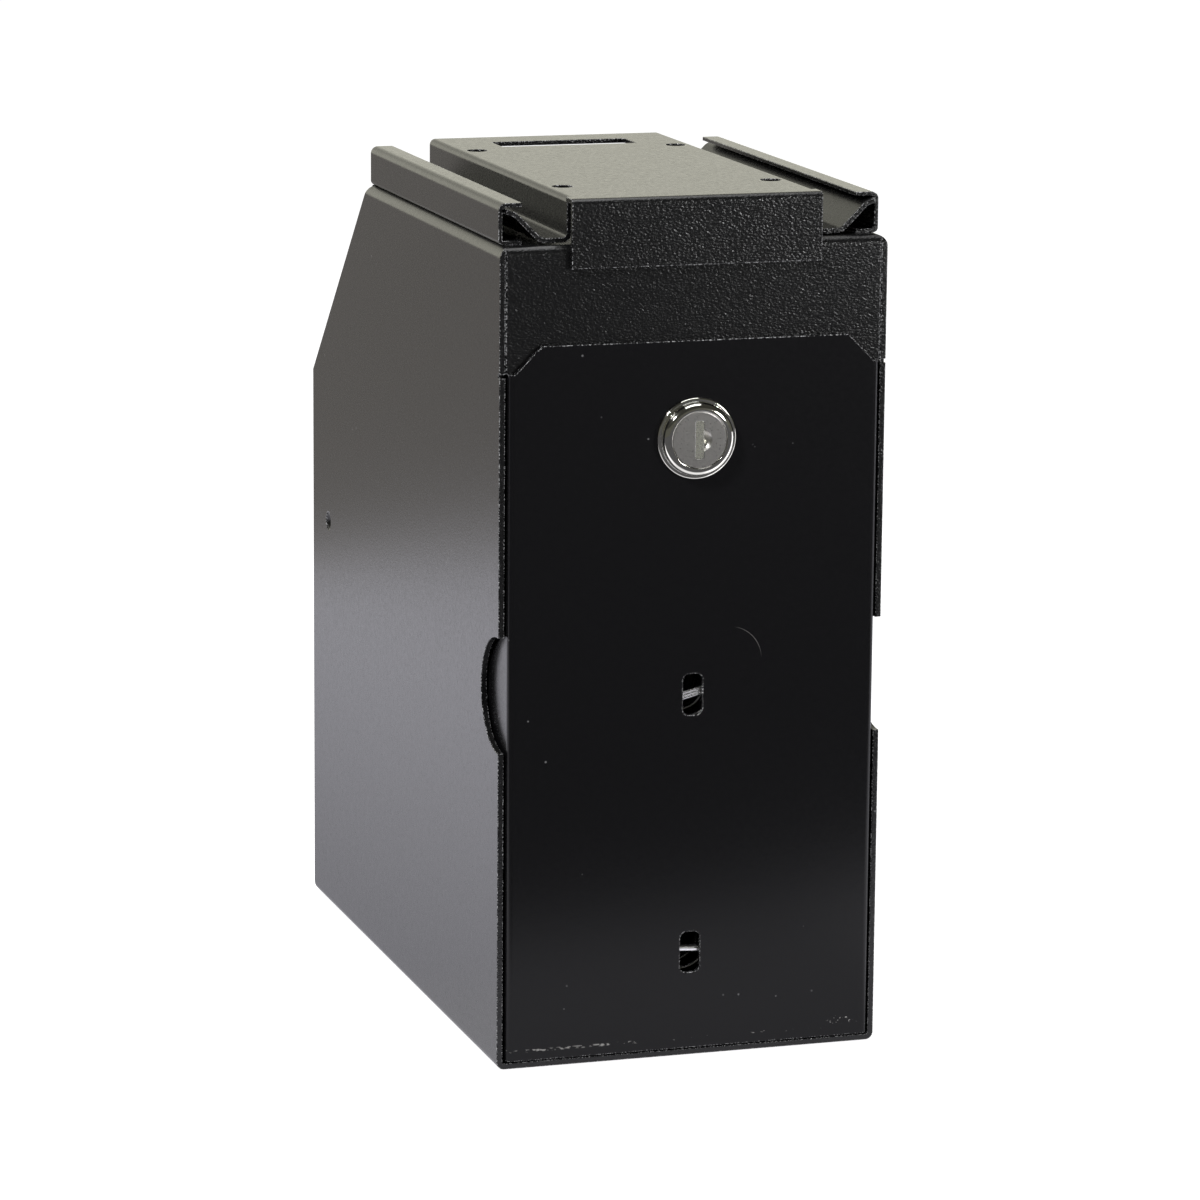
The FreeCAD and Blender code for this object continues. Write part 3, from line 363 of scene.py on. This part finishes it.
# %% Assign the finishes
by_name = {"counter_bracket": bracket_coat,
           "key_shutter": metal("pressed_shutter", (0.88, 0.88, 0.76), 0.28, 2400, depth=0.0005 * MM)}
slot_of = {part["node"]: part["material_slot"] for part in frame["record"]["subparts"]}
for name, piece in frame["nodes"].items():
    material = by_name.get(name, finishes[slot_of[name]]).material
    for slot in piece.material_slots:
        slot.material = material
    if not piece.material_slots:
        piece.data.materials.append(material)
print("dressed", len(slot_of), "nodes")

# %% [markdown]
# ## Copies of the springs
#
# A body in the frame is rigid, but a spring is not: two long coils shorten as the note plate is
# pushed towards the drawer's front, and a small torsion coil winds up as the flap opens. So each
# spring gets a copy of its own, with its loose triangles joined and smooth shading, in place of
# the node. The two long ones go with the drawer's body, and the small one keeps its place.

# %% Springs
SHARP = math.radians(40)


def working_copy(name, node):
    """A copy of a CAD node, with its loose triangles joined, that stands for the node."""
    coil = bmesh.new()
    coil.from_mesh(frame["nodes"][node].data)
    bmesh.ops.remove_doubles(coil, verts=coil.verts, dist=0.001 * MM)
    for face in coil.faces:
        face.smooth = True
    mesh = bpy.data.meshes.new(name)
    coil.to_mesh(mesh)
    coil.free()
    mesh.set_sharp_from_angle(angle=SHARP)
    mesh.materials.clear()
    mesh.materials.append(finishes[slot_of[node]].material)
    copy = bpy.data.objects.new(name, mesh)
    bpy.context.scene.collection.objects.link(copy)
    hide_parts(node)
    print(name, "has", len(mesh.polygons), "faces")
    return copy


for node in ("upper_spring", "lower_spring"):
    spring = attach(working_copy(node + "_coil", node), "drawer")
    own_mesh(spring)

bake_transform(working_copy("flap_spring_coil", "flap_spring"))

# %% [markdown]
# ## Studio
#
# The floor and the backdrop are white. A white that the camera sees needs no strong lamps: the
# world is white to camera rays, and the floor adds a little light of its own on top of its
# diffuse colour, so it reads white while the contact shadow stays. For reflections the room is
# uneven, as a real studio is: white behind the box near the horizon, dimmer higher up, and dim
# behind the camera. That contrast is what makes a black box readable, because its side and top
# mirror the bright backdrop at a shallow angle, and its front mirrors the dim room.

# %% World
ROOM_FRONT = 0.09
ROOM_BACK = 1.19
ROOM_HIGH = 0.40
BACK_FROM_Y, BACK_TO_Y = 0.05, 0.80
HIGH_FROM_Z, HIGH_TO_Z = 0.23, 0.33
MIRRORED_TINT = (1.0, 0.985, 0.84, 1.0)
world = bpy.data.worlds.new("studio")
bpy.context.scene.world = world
world.use_nodes = True
sky = world.node_tree
sky.nodes.clear()


def sky_node(kind, **settings):
    made = sky.nodes.new(kind)
    for name, value in settings.items():
        setattr(made, name, value)
    return made


def sky_ramp(socket, low, high, first, last):
    made = sky_node("ShaderNodeMapRange", interpolation_type="SMOOTHSTEP")
    for label, value in (("From Min", low), ("From Max", high), ("To Min", first), ("To Max", last)):
        made.inputs[label].default_value = value
    sky.links.new(socket, made.inputs["Value"])
    return made.outputs["Result"]


direction = sky_node("ShaderNodeTexCoord")
split = sky_node("ShaderNodeSeparateXYZ")
sky.links.new(direction.outputs["Generated"], split.inputs[0])
wall = sky_node("ShaderNodeMath", operation="MULTIPLY")
front_to_back = sky_ramp(split.outputs["Y"], BACK_FROM_Y, BACK_TO_Y, ROOM_FRONT, ROOM_BACK)
low_to_high = sky_ramp(split.outputs["Z"], HIGH_FROM_Z, HIGH_TO_Z, 1.0, ROOM_HIGH)
sky.links.new(front_to_back, wall.inputs[0])
sky.links.new(low_to_high, wall.inputs[1])
eye = sky_node("ShaderNodeLightPath")
tone = sky_node("ShaderNodeMix", data_type="RGBA")
sky.links.new(eye.outputs["Is Glossy Ray"], tone.inputs["Factor"])
tone.inputs[6].default_value = (1.0, 1.0, 1.0, 1.0)
tone.inputs[7].default_value = MIRRORED_TINT
seen = sky_node("ShaderNodeMath", operation="MAXIMUM")
sky.links.new(eye.outputs["Is Camera Ray"], seen.inputs[0])
sky.links.new(wall.outputs[0], seen.inputs[1])
glow = sky_node("ShaderNodeBackground")
sky.links.new(tone.outputs[2], glow.inputs["Color"])
sky.links.new(seen.outputs[0], glow.inputs["Strength"])
out = sky_node("ShaderNodeOutputWorld")
sky.links.new(glow.outputs[0], out.inputs["Surface"])

# %% Floor
FLOOR_HALF = 4.0
FLOOR_DROP = 0.3 * MM
FLOOR_GREY = 0.62
CAMERA_GLOW = 0.90
# where the mirrored table ends, how bright it is to the left, beside and just before the box,
# and how bright the room is beyond it
TABLE_BACK = 0.565
TABLE_FRONT = -0.232
FRONT_SLANT = 0.26
TABLE_GLOW = 1.36
TABLE_BESIDE = 0.80
TABLE_NEAR = 0.95
RIGHT_BOOST = 1.7
ROOM_LOW = 0.37
ROOM_TINT = (1.0, 0.94, 0.88)
NEAR_TINT = (0.95, 0.94, 1.0)
TABLE_TINT = (0.93, 0.92, 1.0)
mesh = bpy.data.meshes.new("floor")
ground = bmesh.new()
bmesh.ops.create_grid(ground, x_segments=1, y_segments=1, size=FLOOR_HALF)
bmesh.ops.translate(ground, verts=ground.verts, vec=(0.0, 0.0, -FLOOR_DROP))
ground.to_mesh(mesh)
ground.free()
floor = bpy.data.objects.new("floor", mesh)
bpy.context.scene.collection.objects.link(floor)

paint = Finish("white_floor")
paint.set(Roughness=0.9)
paint.shader.inputs["Specular IOR Level"].default_value = 0.0
path = paint.add("ShaderNodeLightPath")
camera_ray, glossy_ray = path.outputs["Is Camera Ray"], path.outputs["Is Glossy Ray"]
spot = paint.add("ShaderNodeSeparateXYZ", Vector=paint.place)
spot_x, spot_y = spot.outputs["X"], spot.outputs["Y"]

# in reflections the table is a bright strip with a dim, warm room beyond its back edge
behind = paint.ramp(spot_y, TABLE_BACK - 0.04, TABLE_BACK + 0.04)
slanted = paint.maths("ADD", spot_y, paint.times(spot_x, FRONT_SLANT))
ahead_of = paint.ramp(slanted, TABLE_FRONT - 0.03, TABLE_FRONT + 0.03)
beside = paint.ramp(spot_x, -0.20, -0.06, TABLE_GLOW, TABLE_BESIDE)
near_front = paint.ramp(spot_y, -0.16, 0.0, TABLE_NEAR / TABLE_BESIDE, 1.0)
to_right = paint.ramp(spot_x, 0.07, 0.12, 1.0, RIGHT_BOOST)
table = paint.maths("MAXIMUM", paint.times(near_front, to_right, beside, ahead_of), ROOM_FRONT)
level = paint.maths("ADD", paint.times(glossy_ray, table, paint.maths("SUBTRACT", 1.0, behind)),
                    paint.times(glossy_ray, behind, ROOM_LOW))
table_tint = paint.blend(paint.ramp(spot_y, -0.05, 0.02), NEAR_TINT, TABLE_TINT)
tint = paint.blend(behind, table_tint, ROOM_TINT)
paint.set(Emission_Color=paint.blend(camera_ray, tint, (1.0, 1.0, 1.0)),
          Emission_Strength=paint.maths("ADD", paint.times(camera_ray, CAMERA_GLOW), level))

# rays that mirror the floor see only that glow, so the lamps don't flatten the reflections
lamp_lit = paint.maths("SUBTRACT", 1.0, glossy_ray)
paint.set(Base_Color=paint.blend(lamp_lit, (0.0, 0.0, 0.0), (FLOOR_GREY, FLOOR_GREY, FLOOR_GREY)))
mesh.materials.append(paint.material)
print("floor spans", 2 * FLOOR_HALF, "m")

# %% Lamps


def softbox(name, place, target, width, height, watts):
    """Rectangular lamp that faces a point."""
    lamp = bpy.data.lights.new(name, "AREA")
    lamp.shape = "RECTANGLE"
    lamp.size = width
    lamp.size_y = height
    lamp.energy = watts
    holder = bpy.data.objects.new(name, lamp)
    holder.location = place
    holder.rotation_euler = (Vector(target) - Vector(place)).to_track_quat("-Z", "Y").to_euler()
    bpy.context.scene.collection.objects.link(holder)
    print(name, "lamp,", watts, "W")
    return holder


middle = (Vector(cad_box[0]) + Vector(cad_box[1])) / 2
# a broad one above for the even light, one low at the right for the leather's glints, and a
# small strong one at the upper left for the edges and the lock's ring
softbox("overhead", (0.1, 0.0, 1.5), middle, 1.2, 0.8, 9)
softbox("key", (0.66, -1.0, 0.32), (0.0, -0.1, 0.2), 0.16, 0.20, 3.6)
softbox("upper_left", (-0.75, -0.65, 0.95), middle, 0.14, 0.14, 8.0)

# %% [markdown]
# ## Camera
#
# A long lens from the front left, a little above the box. Its direction is built from three
# angles, so that each can be read and changed alone: turn, tilt and a slight roll.

# %% Camera
TURN = math.radians(17.532)
TILT = math.radians(11.765)
ROLL = math.radians(0.471)
CAMERA_PLACE = (-0.4164, -1.3341, 0.3929)
FOCAL_LENGTH = 156.9
ahead = Vector((math.sin(TURN) * math.cos(TILT), math.cos(TURN) * math.cos(TILT), -math.sin(TILT)))
right = Vector((math.cos(TURN), -math.sin(TURN), 0.0))
up = right.cross(ahead)
level_right, level_up = right.copy(), up.copy()
right = level_right * math.cos(ROLL) + level_up * math.sin(ROLL)
up = level_up * math.cos(ROLL) - level_right * math.sin(ROLL)
lens = bpy.data.cameras.new("camera")
lens.sensor_width = 36.0
lens.lens = FOCAL_LENGTH
camera = bpy.data.objects.new("camera", lens)
turned = Matrix((right, up, -ahead)).transposed().to_4x4()
camera.matrix_world = Matrix.Translation(CAMERA_PLACE) @ turned
bpy.context.scene.collection.objects.link(camera)
bpy.context.scene.camera = camera
print("camera stands", round(Vector(CAMERA_PLACE).length, 3), "m from the origin")

# %% Finish
bpy.context.scene.view_settings.view_transform = "Standard"
